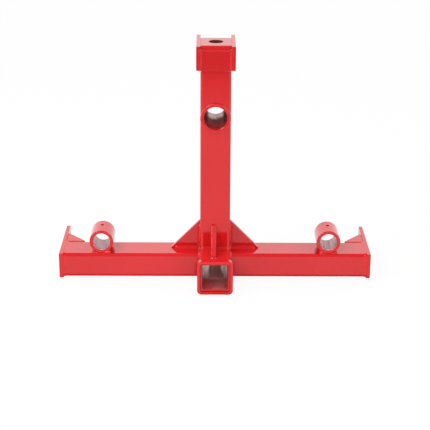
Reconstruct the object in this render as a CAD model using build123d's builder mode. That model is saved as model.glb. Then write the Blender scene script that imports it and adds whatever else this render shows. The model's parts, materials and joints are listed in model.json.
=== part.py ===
# Three point receiver hitch: a welded steel frame for the back of a small tractor.
# Seen from the front, +X is to the right, +Y points to the tractor and +Z is up.
# The origin is the centre of the footprint, on the floor under the receiver's collar.

from build123d import *
from math import atan2, degrees
import os

os.makedirs("parts", exist_ok=True)

# Driving dimensions in millimetres

# Cross tube, lying along X in two halves, one on each side of the receiver
hitch_width = 630.0
tube_depth = 70.0
tube_height = 50.0
tube_wall = 4.5
tube_corner = 7.0

# Receiver tube and the collar around its mouth
receiver_outer = 60.0
receiver_opening = 51.0
receiver_corner = 5.0
opening_corner = 2.0
receiver_length = 166.0
collar_outer = 71.0
collar_corner = 9.0
collar_length = 12.0
collar_reach = 75.0
mouth_recess = 4.0
mouth_lead_in = 1.5
hitch_pin_bore = 16.5
hitch_pin_setback = 57.0

# Mast, the round sleeve through it and its stiffeners
mast_outer = 60.0
mast_wall = 4.5
mast_corner = 6.0
hub_drop = 143.5
hub_outer = 52.0
hub_bore = 46.0
hub_proud = 3.0
hub_length = 115.0
gusset_reach = 58.5
gusset_rise = 60.0
gusset_nose = 1.5
gusset_setback = 4.0
rib_reach = 50.0
rib_rise = 52.0
rib_nose = 5.0
rib_offset = 3.0

# Plates, all cut from one thickness
plate_thickness = 8.0
end_plate_length = 155.0
end_plate_rim = 1.0
lower_pin_bore = 22.5
lower_pin_setback = 30.0
end_gusset_width = 38.0
end_gusset_length = 43.0
end_gusset_nose = 3.0
edge_break = 0.8

# Spear sleeves standing on the cross tube
sleeve_spread = 458.0
sleeve_outer = 48.0
sleeve_bore = 35.0
sleeve_length = 57.0
sleeve_setback = 6.5
set_screw_bore = 6.8
set_screw_setback = 33.0

# Top bracket: two ears and a bent plate that carries a hitch ball
top_height = 483.0
ear_height = 47.0
ear_length = 105.0
ear_lead = 2.0
top_pin_bore = 20.0
top_pin_setback = 17.0
top_pin_drop = 28.0
ball_plate_depth = 75.0
ball_plate_bend = 10.0
ball_bore = 28.0
ball_setback = 43.0
ball_nut_room = 26.0

# Weld beads: the legs of the fillets, how far short of a gusset's tips and of the mast's
# sides they stop, the seams at the end plates, and the flare beads beside the mast's foot
fillet_leg = 5.0
heavy_leg = 6.0
light_leg = 3.0
bead_run_out = 7.0
foot_bead_inset = 2.0
toe_thickness = 0.2
weld_inset = 0.5
seam_width = 5.0
flare_proud = 3.0
flare_rise = 0.5
flare_drop = 3.0
fillet_angle = 45.0
bead_crown_share = 0.15

# Foot welds of the sleeves, as shares of the sleeve's diameter and of their own width
foot_width_share = 0.4
foot_rise_share = 0.15
foot_crest_share = 0.85

# Places that follow from the driving dimensions

collar_wall = (collar_outer - receiver_outer) / 2
receiver_z = collar_outer / 2
receiver_top = receiver_z + receiver_outer / 2
receiver_side = receiver_outer / 2
tube_bottom = collar_wall
tube_top = tube_bottom + tube_height
tube_z = tube_bottom + tube_height / 2

overall_depth = collar_reach + end_plate_length
collar_front = -overall_depth / 2
mouth_y = collar_front + mouth_recess
hitch_pin_y = collar_front + hitch_pin_setback
tube_front = collar_front + collar_reach
tube_back = tube_front + tube_depth
tube_y = (tube_front + tube_back) / 2
plate_back = tube_front + end_plate_length
plate_front = tube_front - end_plate_rim
plate_outside = hitch_width / 2
plate_inside = plate_outside - plate_thickness

mast_side = mast_outer / 2
mast_front = tube_y - mast_outer / 2
mast_back = tube_y + mast_outer / 2
mast_top = top_height - plate_thickness - ball_nut_room
hub_z = top_height - hub_drop
gusset_front = tube_y + gusset_setback - plate_thickness / 2
gusset_back = gusset_front + plate_thickness
rib_front = mast_front - rib_reach

sleeve_z = tube_top + sleeve_outer / 2
sleeve_front = tube_front + sleeve_setback
sleeve_back = sleeve_front + sleeve_length

web_front = mast_front - plate_thickness
ear_front = web_front - ear_lead
ear_back = ear_front + ear_length
ear_bottom = top_height - ear_height
ball_plate_back = web_front + ball_plate_depth

foot_half = sleeve_outer * foot_width_share
foot_crest = foot_half * foot_crest_share
foot_rise = sleeve_outer * foot_rise_share
seam_angle = degrees(atan2(end_plate_rim - toe_thickness, seam_width))

hands = (("left", -1), ("right", 1))


def seen_from_front(y):
    # Local x is +X and local y is +Z; a negative extrusion runs towards the tractor
    return Plane.XZ.offset(-y)


def seen_from_side(x):
    # Local x is +Y and local y is +Z
    return Plane.YZ.offset(x)


def seen_from_above(z):
    # Local x is +X and local y is +Y
    return Plane.XY.offset(z)


class FilletBead(BaseSketchObject):
    # Section of a fillet weld with a slightly rounded face
    def __init__(self, root, toe, other_toe, mode=Mode.ADD):
        middle = (Vector(*toe) + Vector(*other_toe)) / 2
        crown = middle + (middle - Vector(*root)) * bead_crown_share
        with BuildSketch() as section:
            with BuildLine():
                Line(root, toe)
                ThreePointArc(toe, crown, other_toe)
                Line(other_toe, root)
            make_face()
        super().__init__(obj=section.sketch, rotation=0, align=None, mode=mode)


# Receiver tube, open at both ends, with the cross hole for the hitch pin
with BuildPart() as receiver_tube:
    with BuildSketch(seen_from_front(mouth_y)):
        with Locations((0, receiver_z)):
            RectangleRounded(receiver_outer, receiver_outer, receiver_corner)
            RectangleRounded(receiver_opening, receiver_opening, opening_corner, mode=Mode.SUBTRACT)
    extrude(amount=-receiver_length)
    mouth_face = receiver_tube.faces().sort_by(Axis.Y)[0]
    chamfer(mouth_face.inner_wires()[0].edges(), mouth_lead_in)
    with BuildSketch(seen_from_side(-receiver_side)):
        with Locations((hitch_pin_y, receiver_z)):
            Circle(hitch_pin_bore / 2)
    extrude(amount=receiver_outer, mode=Mode.SUBTRACT)
receiver_tube.part.label = "receiver_tube"
export_step(receiver_tube.part, "parts/receiver_tube.step")

# Outline of the receiver as a filled bar, which the welds are cut to
with BuildPart() as receiver_outline:
    with BuildSketch(seen_from_front(collar_front)):
        with Locations((0, receiver_z)):
            RectangleRounded(receiver_outer, receiver_outer, receiver_corner)
    extrude(amount=-(mouth_recess + receiver_length))

# Collar that stiffens the mouth of the receiver
with BuildPart() as receiver_collar:
    with BuildSketch(seen_from_front(collar_front)):
        with Locations((0, receiver_z)):
            RectangleRounded(collar_outer, collar_outer, collar_corner)
            RectangleRounded(receiver_outer, receiver_outer, receiver_corner, mode=Mode.SUBTRACT)
    extrude(amount=-collar_length)
    front_rim = receiver_collar.faces().sort_by(Axis.Y)[0].outer_wire().edges()
    chamfer(front_rim, edge_break)
receiver_collar.part.label = "receiver_collar"
export_step(receiver_collar.part, "parts/receiver_collar.step")

# Weld behind the collar, tapering down to the receiver
with BuildPart() as weld_collar:
    with BuildSketch(seen_from_front(collar_front + collar_length)):
        with Locations((0, receiver_z)):
            weld_width = collar_outer - 2 * weld_inset
            RectangleRounded(weld_width, weld_width, collar_corner - weld_inset)
    extrude(amount=-fillet_leg, taper=fillet_angle)
    add(receiver_outline.part, mode=Mode.SUBTRACT)
weld_collar.part.label = "weld_collar"
export_step(weld_collar.part, "parts/weld_collar.step")

# Weld in the recess between the end of the receiver and the inner wall of the collar
with BuildPart() as weld_mouth:
    with BuildSketch(seen_from_front(mouth_y)):
        with Locations((0, receiver_z)):
            RectangleRounded(receiver_outer, receiver_outer, receiver_corner)
    extrude(amount=light_leg - toe_thickness)
    with BuildSketch(seen_from_front(mouth_y)):
        with Locations((0, receiver_z)):
            throat = receiver_outer - 2 * light_leg
            RectangleRounded(throat, throat, receiver_corner - light_leg)
    extrude(amount=light_leg - toe_thickness, taper=-fillet_angle, mode=Mode.SUBTRACT)
weld_mouth.part.label = "weld_mouth"
export_step(weld_mouth.part, "parts/weld_mouth.step")

# Mast with the holes that the round sleeve passes through
with BuildPart() as mast_tube:
    with BuildSketch(seen_from_above(receiver_top)):
        with Locations((0, tube_y)):
            RectangleRounded(mast_outer, mast_outer, mast_corner)
            inner = mast_outer - 2 * mast_wall
            RectangleRounded(inner, inner, mast_corner - mast_wall, mode=Mode.SUBTRACT)
    extrude(amount=mast_top - receiver_top)
    with BuildSketch(seen_from_front(mast_front)):
        with Locations((0, hub_z)):
            Circle(hub_outer / 2)
    extrude(amount=-mast_outer, mode=Mode.SUBTRACT)
mast_tube.part.label = "mast_tube"
export_step(mast_tube.part, "parts/mast_tube.step")

# Outline of the mast as a filled bar, which the welds are cut to
with BuildPart() as mast_outline:
    with BuildSketch(seen_from_above(receiver_top)):
        with Locations((0, tube_y)):
            RectangleRounded(mast_outer, mast_outer, mast_corner)
    extrude(amount=mast_top - receiver_top)

# Round sleeve through the mast
with BuildPart() as mast_hub:
    with BuildSketch(seen_from_front(mast_front - hub_proud)):
        with Locations((0, hub_z)):
            Circle(hub_outer / 2)
            Circle(hub_bore / 2, mode=Mode.SUBTRACT)
    extrude(amount=-hub_length)
    chamfer(mast_hub.edges().filter_by(GeomType.CIRCLE), edge_break)
mast_hub.part.label = "mast_hub"
export_step(mast_hub.part, "parts/mast_hub.step")

with BuildPart() as hub_outline:
    with BuildSketch(seen_from_front(mast_front - hub_proud)):
        with Locations((0, hub_z)):
            Circle(hub_outer / 2)
    extrude(amount=-hub_length)

# Ring welds where the round sleeve comes out of the mast, front and rear
for end, face_y, outwards in (("front", mast_front, -1), ("rear", mast_back, 1)):
    with BuildPart() as weld_hub:
        with BuildSketch(seen_from_front(face_y - outwards * mast_corner)):
            with Locations((0, hub_z)):
                Circle(hub_outer / 2 + light_leg)
        extrude(amount=-outwards * mast_corner)
        with BuildSketch(seen_from_front(face_y)):
            with Locations((0, hub_z)):
                Circle(hub_outer / 2 + light_leg)
        extrude(amount=-outwards * (light_leg - toe_thickness), taper=fillet_angle)
        add(mast_outline.part, mode=Mode.SUBTRACT)
        add(hub_outline.part, mode=Mode.SUBTRACT)
    weld_hub.part.label = f"weld_hub_{end}"
    export_step(weld_hub.part, f"parts/weld_hub_{end}.step")

# Triangular rib between the mast and the top of the receiver, a little off centre
with BuildPart() as front_rib:
    with BuildSketch(seen_from_side(-rib_offset - plate_thickness / 2)):
        with BuildLine():
            Polyline(
                (mast_front, receiver_top),
                (rib_front, receiver_top),
                (rib_front, receiver_top + rib_nose),
                (mast_front - rib_nose, receiver_top + rib_rise),
                (mast_front, receiver_top + rib_rise),
                close=True,
            )
        make_face()
    extrude(amount=plate_thickness)
front_rib.part.label = "front_rib"
export_step(front_rib.part, "parts/front_rib.step")

# Halves of the cross tube, butted against the sides of the receiver
tube_outlines = {}
for hand, side in hands:
    with BuildPart() as cross_tube:
        with BuildSketch(seen_from_side(side * receiver_side)):
            with Locations((tube_y, tube_z)):
                RectangleRounded(tube_depth, tube_height, tube_corner)
                inner_depth = tube_depth - 2 * tube_wall
                inner_height = tube_height - 2 * tube_wall
                inner_corner = tube_corner - tube_wall
                RectangleRounded(inner_depth, inner_height, inner_corner, mode=Mode.SUBTRACT)
        extrude(amount=side * (plate_inside - receiver_side))
    cross_tube.part.label = f"cross_tube_{hand}"
    export_step(cross_tube.part, f"parts/cross_tube_{hand}.step")

    with BuildPart() as outline:
        with BuildSketch(seen_from_side(side * receiver_side)):
            with Locations((tube_y, tube_z)):
                RectangleRounded(tube_depth, tube_height, tube_corner)
        extrude(amount=side * (plate_inside - receiver_side))
    tube_outlines[hand] = outline.part

# End plates with the bores for the lower link pins behind the cross tube
end_plates = {}
for hand, side in hands:
    with BuildPart() as end_plate:
        with BuildSketch(seen_from_side(side * plate_inside)):
            with Locations(((plate_front + plate_back) / 2, tube_z)):
                Rectangle(plate_back - plate_front, tube_height + 2 * end_plate_rim)
            with Locations((plate_back - lower_pin_setback, tube_z)):
                Circle(lower_pin_bore / 2, mode=Mode.SUBTRACT)
        extrude(amount=side * plate_thickness)
        outer_face = end_plate.faces().sort_by(Axis.X)[-1 if side > 0 else 0]
        chamfer(outer_face.outer_wire().edges(), edge_break)
    end_plate.part.label = f"end_plate_{hand}"
    export_step(end_plate.part, f"parts/end_plate_{hand}.step")
    end_plates[hand] = end_plate.part

# Flat corner gussets behind the cross tube, level with its top
for hand, side in hands:
    with BuildPart() as end_gusset:
        with BuildSketch(seen_from_above(tube_top - plate_thickness)):
            with BuildLine():
                Polyline(
                    (side * plate_inside, tube_back),
                    (side * (plate_inside - end_gusset_width), tube_back),
                    (side * (plate_inside - end_gusset_width), tube_back + end_gusset_nose),
                    (side * (plate_inside - end_gusset_nose), tube_back + end_gusset_length),
                    (side * plate_inside, tube_back + end_gusset_length),
                    close=True,
                )
            make_face()
        extrude(amount=plate_thickness)
    end_gusset.part.label = f"end_gusset_{hand}"
    export_step(end_gusset.part, f"parts/end_gusset_{hand}.step")

# Upright gussets between the mast and the cross tube
gussets = {}
for hand, side in hands:
    with BuildPart() as mast_gusset:
        with BuildSketch(seen_from_front(gusset_front)):
            with BuildLine():
                Polyline(
                    (side * mast_side, tube_top),
                    (side * (mast_side + gusset_reach), tube_top),
                    (side * (mast_side + gusset_reach), tube_top + gusset_nose),
                    (side * (mast_side + gusset_nose), tube_top + gusset_rise),
                    (side * mast_side, tube_top + gusset_rise),
                    close=True,
                )
            make_face()
        extrude(amount=-plate_thickness)
    mast_gusset.part.label = f"mast_gusset_{hand}"
    export_step(mast_gusset.part, f"parts/mast_gusset_{hand}.step")
    gussets[hand] = mast_gusset.part

# Welds that join each half of the cross tube to the side of the receiver
receiver_welds = {}
for hand, side in hands:
    with BuildPart() as weld_receiver:
        with BuildSketch(seen_from_side(side * receiver_side)):
            with Locations((tube_y, tube_z)):
                ring_depth = tube_depth + 2 * fillet_leg
                ring_height = tube_height + 2 * fillet_leg
                RectangleRounded(ring_depth, ring_height, tube_corner + fillet_leg)
        extrude(amount=side * (fillet_leg - toe_thickness), taper=fillet_angle)
        with BuildSketch(seen_from_above(tube_bottom)):
            with Locations((side * receiver_side, tube_y)):
                Rectangle(4 * fillet_leg, 2 * tube_depth)
        extrude(amount=-2 * fillet_leg, mode=Mode.SUBTRACT)
        add(tube_outlines[hand], mode=Mode.SUBTRACT)
        add(receiver_outline.part, mode=Mode.SUBTRACT)
        add(gussets[hand], mode=Mode.SUBTRACT)
    weld_receiver.part.label = f"weld_receiver_{hand}"
    export_step(weld_receiver.part, f"parts/weld_receiver_{hand}.step")
    receiver_welds[hand] = weld_receiver.part

# Weld around the foot of the mast: fillets on the receiver's flat top at the front and
# the back, and beads that fill the flare between the mast's sides and the rounded edges
with BuildPart() as weld_mast_foot:
    with BuildSketch(seen_from_side(-mast_side + foot_bead_inset)):
        FilletBead(
            (mast_front, receiver_top),
            (mast_front - heavy_leg, receiver_top),
            (mast_front, receiver_top + heavy_leg),
        )
        FilletBead(
            (mast_back, receiver_top),
            (mast_back + heavy_leg, receiver_top),
            (mast_back, receiver_top + heavy_leg),
        )
    extrude(amount=mast_outer - 2 * foot_bead_inset)
    for hand, side in hands:
        with BuildSketch(seen_from_front(mast_front)):
            with BuildLine():
                Polyline(
                    (side * (mast_side - receiver_corner), receiver_top),
                    (side * mast_side, receiver_top + fillet_leg),
                    (side * (mast_side + flare_proud), receiver_top + flare_rise),
                    (side * (mast_side + flare_proud), receiver_top - flare_drop),
                    (side * mast_side, receiver_top - receiver_corner),
                    close=True,
                )
            make_face()
        extrude(amount=-mast_outer)
        add(gussets[hand], mode=Mode.SUBTRACT)
        add(receiver_welds[hand], mode=Mode.SUBTRACT)
    add(mast_outline.part, mode=Mode.SUBTRACT)
    add(receiver_outline.part, mode=Mode.SUBTRACT)
    add(front_rib.part, mode=Mode.SUBTRACT)
weld_mast_foot.part.label = "weld_mast_foot"
export_step(weld_mast_foot.part, "parts/weld_mast_foot.step")

# Welds on both sides of the front rib, each one run down the mast and along the receiver
with BuildPart() as weld_rib:
    for side in (-1, 1):
        face_x = -rib_offset + side * plate_thickness / 2
        with BuildSketch(seen_from_front(mast_front)):
            FilletBead(
                (face_x, receiver_top),
                (face_x + side * light_leg, receiver_top),
                (face_x, receiver_top + light_leg),
            )
        extrude(amount=rib_reach)
        with BuildSketch(seen_from_above(receiver_top)):
            FilletBead(
                (face_x, mast_front),
                (face_x + side * light_leg, mast_front),
                (face_x, mast_front - light_leg),
            )
        extrude(amount=rib_rise)
    add(weld_mast_foot.part, mode=Mode.SUBTRACT)
    add(front_rib.part, mode=Mode.SUBTRACT)
weld_rib.part.label = "weld_rib"
export_step(weld_rib.part, "parts/weld_rib.step")

# Welds on the front and the back of each upright gusset
for hand, side in hands:
    with BuildPart() as weld_gusset:
        for face_y, outwards in ((gusset_front, -1), (gusset_back, 1)):
            with BuildSketch(seen_from_side(side * mast_side)):
                FilletBead(
                    (face_y, tube_top),
                    (face_y + outwards * heavy_leg, tube_top),
                    (face_y, tube_top + heavy_leg),
                )
            extrude(amount=side * (gusset_reach - bead_run_out))
            with BuildSketch(seen_from_above(tube_top)):
                FilletBead(
                    (side * mast_side, face_y),
                    (side * (mast_side + heavy_leg), face_y),
                    (side * mast_side, face_y + outwards * heavy_leg),
                )
            extrude(amount=gusset_rise - bead_run_out)
        add(receiver_welds[hand], mode=Mode.SUBTRACT)
        add(weld_mast_foot.part, mode=Mode.SUBTRACT)
        add(receiver_outline.part, mode=Mode.SUBTRACT)
        add(gussets[hand], mode=Mode.SUBTRACT)
    weld_gusset.part.label = f"weld_gusset_{hand}"
    export_step(weld_gusset.part, f"parts/weld_gusset_{hand}.step")

# Seam around the end of each half tube, inside the plate's rim, and a fillet behind it
end_plate_welds = {}
for hand, side in hands:
    with BuildPart() as weld_end_plate:
        with BuildSketch(seen_from_side(side * plate_inside)):
            with Locations((tube_y, tube_z)):
                seam_depth = tube_depth + 2 * end_plate_rim
                seam_rise = tube_height + 2 * end_plate_rim
                RectangleRounded(seam_depth, seam_rise, tube_corner + end_plate_rim)
        extrude(amount=-side * seam_width, taper=seam_angle)
        with BuildSketch(seen_from_above(tube_bottom + tube_corner)):
            FilletBead(
                (side * plate_inside, tube_back),
                (side * (plate_inside - fillet_leg), tube_back),
                (side * plate_inside, tube_back + fillet_leg),
            )
        extrude(amount=tube_height - tube_corner - plate_thickness - fillet_leg)
        with BuildSketch(seen_from_above(tube_top - plate_thickness)):
            with Locations((side * (plate_inside - seam_width), tube_back)):
                Rectangle(2 * seam_width, tube_corner)
        extrude(amount=2 * plate_thickness, mode=Mode.SUBTRACT)
        add(tube_outlines[hand], mode=Mode.SUBTRACT)
        add(end_plates[hand], mode=Mode.SUBTRACT)
    weld_end_plate.part.label = f"weld_end_plate_{hand}"
    export_step(weld_end_plate.part, f"parts/weld_end_plate_{hand}.step")
    end_plate_welds[hand] = weld_end_plate.part

# Welds under the flat corner gussets, along the tube and along the plate
for hand, side in hands:
    with BuildPart() as weld_end_gusset:
        under = tube_top - plate_thickness
        with BuildSketch(seen_from_side(side * plate_inside)):
            FilletBead(
                (tube_back, under),
                (tube_back + fillet_leg, under),
                (tube_back, under - fillet_leg),
            )
        extrude(amount=-side * end_gusset_width)
        with BuildSketch(seen_from_front(tube_back)):
            FilletBead(
                (side * plate_inside, under),
                (side * (plate_inside - fillet_leg), under),
                (side * plate_inside, under - fillet_leg),
            )
        extrude(amount=-end_gusset_length)
        add(end_plate_welds[hand], mode=Mode.SUBTRACT)
    weld_end_gusset.part.label = f"weld_end_gusset_{hand}"
    export_step(weld_end_gusset.part, f"parts/weld_end_gusset_{hand}.step")

# Spear sleeves with a threaded hole for a set screw on top
sleeve_outlines = {}
for hand, side in hands:
    sleeve_x = side * sleeve_spread / 2
    with BuildPart() as spear_sleeve:
        with BuildSketch(seen_from_front(sleeve_front)):
            with Locations((sleeve_x, sleeve_z)):
                Circle(sleeve_outer / 2)
                Circle(sleeve_bore / 2, mode=Mode.SUBTRACT)
        extrude(amount=-sleeve_length)
        chamfer(spear_sleeve.edges().filter_by(GeomType.CIRCLE), edge_break)
        with BuildSketch(seen_from_above(sleeve_z)):
            with Locations((sleeve_x, sleeve_front + set_screw_setback)):
                Circle(set_screw_bore / 2)
        extrude(amount=sleeve_outer, mode=Mode.SUBTRACT)
    spear_sleeve.part.label = f"spear_sleeve_{hand}"
    export_step(spear_sleeve.part, f"parts/spear_sleeve_{hand}.step")

    with BuildPart() as outline:
        with BuildSketch(seen_from_front(sleeve_front)):
            with Locations((sleeve_x, sleeve_z)):
                Circle(sleeve_outer / 2)
        extrude(amount=-sleeve_length)
    sleeve_outlines[hand] = outline.part

# Welds around the foot of each sleeve, filling the wedge between round and flat
for hand, side in hands:
    sleeve_x = side * sleeve_spread / 2
    with BuildPart() as weld_sleeve:
        with BuildSketch(seen_from_front(sleeve_front - light_leg)):
            with BuildLine():
                Polyline(
                    (sleeve_x - foot_half, tube_top - light_leg),
                    (sleeve_x + foot_half, tube_top - light_leg),
                    (sleeve_x + foot_half, tube_top),
                    (sleeve_x + foot_crest, tube_top + foot_rise),
                    (sleeve_x - foot_crest, tube_top + foot_rise),
                    (sleeve_x - foot_half, tube_top),
                    close=True,
                )
            make_face()
        extrude(amount=-(sleeve_length + 2 * light_leg))
        with BuildSketch(seen_from_side(sleeve_x - sleeve_outer)):
            with BuildLine():
                Polyline(
                    (sleeve_front - 2 * light_leg, tube_top - 2 * light_leg),
                    (sleeve_front - light_leg, tube_top),
                    (sleeve_front, tube_top + fillet_leg),
                    (sleeve_front, tube_top + 2 * foot_rise),
                    (sleeve_front - 2 * light_leg, tube_top + 2 * foot_rise),
                    close=True,
                )
            make_face()
            with BuildLine():
                Polyline(
                    (sleeve_back + 2 * light_leg, tube_top - 2 * light_leg),
                    (sleeve_back + light_leg, tube_top),
                    (sleeve_back, tube_top + fillet_leg),
                    (sleeve_back, tube_top + 2 * foot_rise),
                    (sleeve_back + 2 * light_leg, tube_top + 2 * foot_rise),
                    close=True,
                )
            make_face()
        extrude(amount=2 * sleeve_outer, mode=Mode.SUBTRACT)
        add(tube_outlines[hand], mode=Mode.SUBTRACT)
        add(sleeve_outlines[hand], mode=Mode.SUBTRACT)
    weld_sleeve.part.label = f"weld_sleeve_{hand}"
    export_step(weld_sleeve.part, f"parts/weld_sleeve_{hand}.step")

# Bent plate: a web down the front of the mast and a flat top with the ball's hole
with BuildPart() as ball_plate:
    inner_bend = ball_plate_bend - plate_thickness
    with BuildSketch(seen_from_side(-mast_side)):
        with BuildLine():
            Line((web_front, ear_bottom), (web_front, top_height - ball_plate_bend))
            RadiusArc(
                (web_front, top_height - ball_plate_bend),
                (web_front + ball_plate_bend, top_height),
                ball_plate_bend,
            )
            Line((web_front + ball_plate_bend, top_height), (ball_plate_back, top_height))
            Line((ball_plate_back, top_height), (ball_plate_back, top_height - plate_thickness))
            Line(
                (ball_plate_back, top_height - plate_thickness),
                (mast_front + inner_bend, top_height - plate_thickness),
            )
            RadiusArc(
                (mast_front + inner_bend, top_height - plate_thickness),
                (mast_front, top_height - ball_plate_bend),
                -inner_bend,
            )
            Line((mast_front, top_height - ball_plate_bend), (mast_front, ear_bottom))
            Line((mast_front, ear_bottom), (web_front, ear_bottom))
        make_face()
    extrude(amount=mast_outer)
    with BuildSketch(seen_from_above(top_height)):
        with Locations((0, web_front + ball_setback)):
            Circle(ball_bore / 2)
    extrude(amount=-plate_thickness, mode=Mode.SUBTRACT)
ball_plate.part.label = "ball_plate"
export_step(ball_plate.part, "parts/ball_plate.step")

# Ears on both sides of the mast, with the bore for the top link pin behind it
for hand, side in hands:
    with BuildPart() as top_ear:
        with BuildSketch(seen_from_side(side * mast_side)):
            with Locations(((ear_front + ear_back) / 2, top_height - ear_height / 2)):
                Rectangle(ear_length, ear_height)
            with Locations((ear_back - top_pin_setback, top_height - top_pin_drop)):
                Circle(top_pin_bore / 2, mode=Mode.SUBTRACT)
        extrude(amount=side * plate_thickness)
        outer_face = top_ear.faces().sort_by(Axis.X)[-1 if side > 0 else 0]
        chamfer(outer_face.outer_wire().edges(), edge_break)
    top_ear.part.label = f"top_ear_{hand}"
    export_step(top_ear.part, f"parts/top_ear_{hand}.step")

# Upright beads in the shallow corners between the web and the leading edges of the ears
with BuildPart() as weld_ears:
    for hand, side in hands:
        with BuildSketch(seen_from_above(ear_bottom)):
            FilletBead(
                (side * mast_side, web_front),
                (side * (mast_side - fillet_leg), web_front),
                (side * mast_side, web_front - ear_lead),
            )
        extrude(amount=ear_height - ball_plate_bend)
weld_ears.part.label = "weld_ears"
export_step(weld_ears.part, "parts/weld_ears.step")

# Bead around the mast under the web and the ears
with BuildPart() as weld_bracket:
    with BuildSketch(seen_from_above(ear_bottom)):
        with Locations((0, tube_y)):
            bead_width = mast_outer + 2 * fillet_leg
            RectangleRounded(bead_width, bead_width, mast_corner + fillet_leg)
    extrude(amount=-(fillet_leg - toe_thickness), taper=fillet_angle)
    with BuildSketch(seen_from_above(ear_bottom)):
        with Locations((0, mast_back)):
            Rectangle(2 * mast_outer, 2 * mast_corner)
    extrude(amount=-2 * fillet_leg, mode=Mode.SUBTRACT)
    add(mast_outline.part, mode=Mode.SUBTRACT)
weld_bracket.part.label = "weld_bracket"
export_step(weld_bracket.part, "parts/weld_bracket.step")
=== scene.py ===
import bpy
import bmesh
import json
import math
from mathutils import Matrix, Vector, noise


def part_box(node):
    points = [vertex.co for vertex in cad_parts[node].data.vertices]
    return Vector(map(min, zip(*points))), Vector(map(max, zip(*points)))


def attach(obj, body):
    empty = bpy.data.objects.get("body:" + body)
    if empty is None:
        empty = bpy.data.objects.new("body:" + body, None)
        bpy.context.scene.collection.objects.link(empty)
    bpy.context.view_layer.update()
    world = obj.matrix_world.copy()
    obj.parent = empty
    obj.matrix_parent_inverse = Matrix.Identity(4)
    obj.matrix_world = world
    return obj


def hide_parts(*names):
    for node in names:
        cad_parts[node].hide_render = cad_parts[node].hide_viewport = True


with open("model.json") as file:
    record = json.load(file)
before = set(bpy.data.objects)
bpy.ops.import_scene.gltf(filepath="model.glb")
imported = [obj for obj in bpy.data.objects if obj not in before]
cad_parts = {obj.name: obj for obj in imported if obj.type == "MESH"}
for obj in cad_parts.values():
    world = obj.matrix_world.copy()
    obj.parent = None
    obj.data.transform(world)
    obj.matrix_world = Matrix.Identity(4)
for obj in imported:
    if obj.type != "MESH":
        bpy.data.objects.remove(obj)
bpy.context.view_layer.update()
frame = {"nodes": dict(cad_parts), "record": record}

mm = 0.001
hands = (("Left", -1), ("Right", 1))
print("frame loaded:", len(frame["nodes"]), "parts")


class Value:  # one socket, so that sums on it become Math nodes
    def __init__(self, sheet, socket):
        self.sheet = sheet
        self.socket = socket

    def work(self, operation, first, second):
        return self.sheet.add("ShaderNodeMath", {"operation": operation}, {0: first, 1: second})

    def __add__(self, other):
        return self.work("ADD", self, other)

    def __radd__(self, other):
        return self.work("ADD", other, self)

    def __sub__(self, other):
        return self.work("SUBTRACT", self, other)

    def __rsub__(self, other):
        return self.work("SUBTRACT", other, self)

    def __mul__(self, other):
        return self.work("MULTIPLY", self, other)

    def __rmul__(self, other):
        return self.work("MULTIPLY", other, self)

    def most(self, other):
        return self.work("MAXIMUM", self, other)

    def size(self):
        return self.sheet.add("ShaderNodeMath", {"operation": "ABSOLUTE"}, {0: self})

    def step(self, start, end):  # 0 before start, 1 after end, smooth between them
        return self.sheet.add("ShaderNodeMapRange", {"interpolation_type": "SMOOTHSTEP"},
                              {"Value": self, "From Min": start, "From Max": end})


class Sheet:  # the node sheet of one material or of the world
    def __init__(self, owner):
        owner.use_nodes = True
        self.nodes = owner.node_tree.nodes
        self.links = owner.node_tree.links
        self.nodes.clear()

    def add(self, kind, settings=None, inputs=None, result=0):
        node = self.nodes.new(kind)
        for name, value in (settings or {}).items():
            setattr(node, name, value)
        for name, value in (inputs or {}).items():
            if isinstance(value, Value):
                self.links.new(value.socket, node.inputs[name])
            else:
                node.inputs[name].default_value = value
        return Value(self, node.outputs[result]) if node.outputs else node

    def blend(self, mask, under, over):  # colour under, with colour over where the mask is 1
        return self.add("ShaderNodeMix", {"data_type": "RGBA"}, {0: mask, 6: under, 7: over}, 2)

    def place(self):  # Object coordinates, in metres
        return self.add("ShaderNodeTexCoord", result=3)

    def axes(self, where):  # the three numbers of a place or direction
        return [self.add("ShaderNodeSeparateXYZ", inputs={"Vector": where}, result=i) for i in range(3)]

    def cloud(self, where, size, detail=2.0, stretch=(1, 1, 1)):  # noise with lumps about size metres wide
        scaled = self.add("ShaderNodeMapping", inputs={"Vector": where, "Scale": stretch})
        return self.add("ShaderNodeTexNoise", inputs={"Vector": scaled, "Scale": 1 / size, "Detail": detail})

    def bump(self, height, depth, under=None):
        wired = {"Height": height, "Distance": depth, "Strength": 1.0}
        if under is not None:
            wired["Normal"] = under
        return self.add("ShaderNodeBump", inputs=wired)

    def finish(self, shader):
        self.add("ShaderNodeOutputMaterial", inputs={"Surface": shader})


def newSheet(name):
    material = bpy.data.materials.new(name)
    return material, Sheet(material)


# Gloss paint on tubes and plates; sizes in all the looks are in metres

paintLook = {
    "red": (0.66, 0.010, 0.013, 1),
    "deepRed": (0.56, 0.006, 0.008, 1),
    "patch": 0.11,  # size of the faint colour patches
    "patchEdges": (0.35, 0.7),
    "patchShare": 0.35,
    "roughness": 0.085,
    "uneven": 0.03,  # change of roughness over the surface
    "unevenSize": 0.02,
    "peelSize": 0.0016,  # orange peel
    "peelDepth": 0.000010,
    "rollSize": 0.007,  # faint lines of the rolled tube under the paint
    "rollDepth": 0.00006,
    "rollStretch": 0.02,
    "shine": 1.5,  # its index of refraction
    "coat": 0.5,
    "coatRoughness": 0.04,
}


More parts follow.
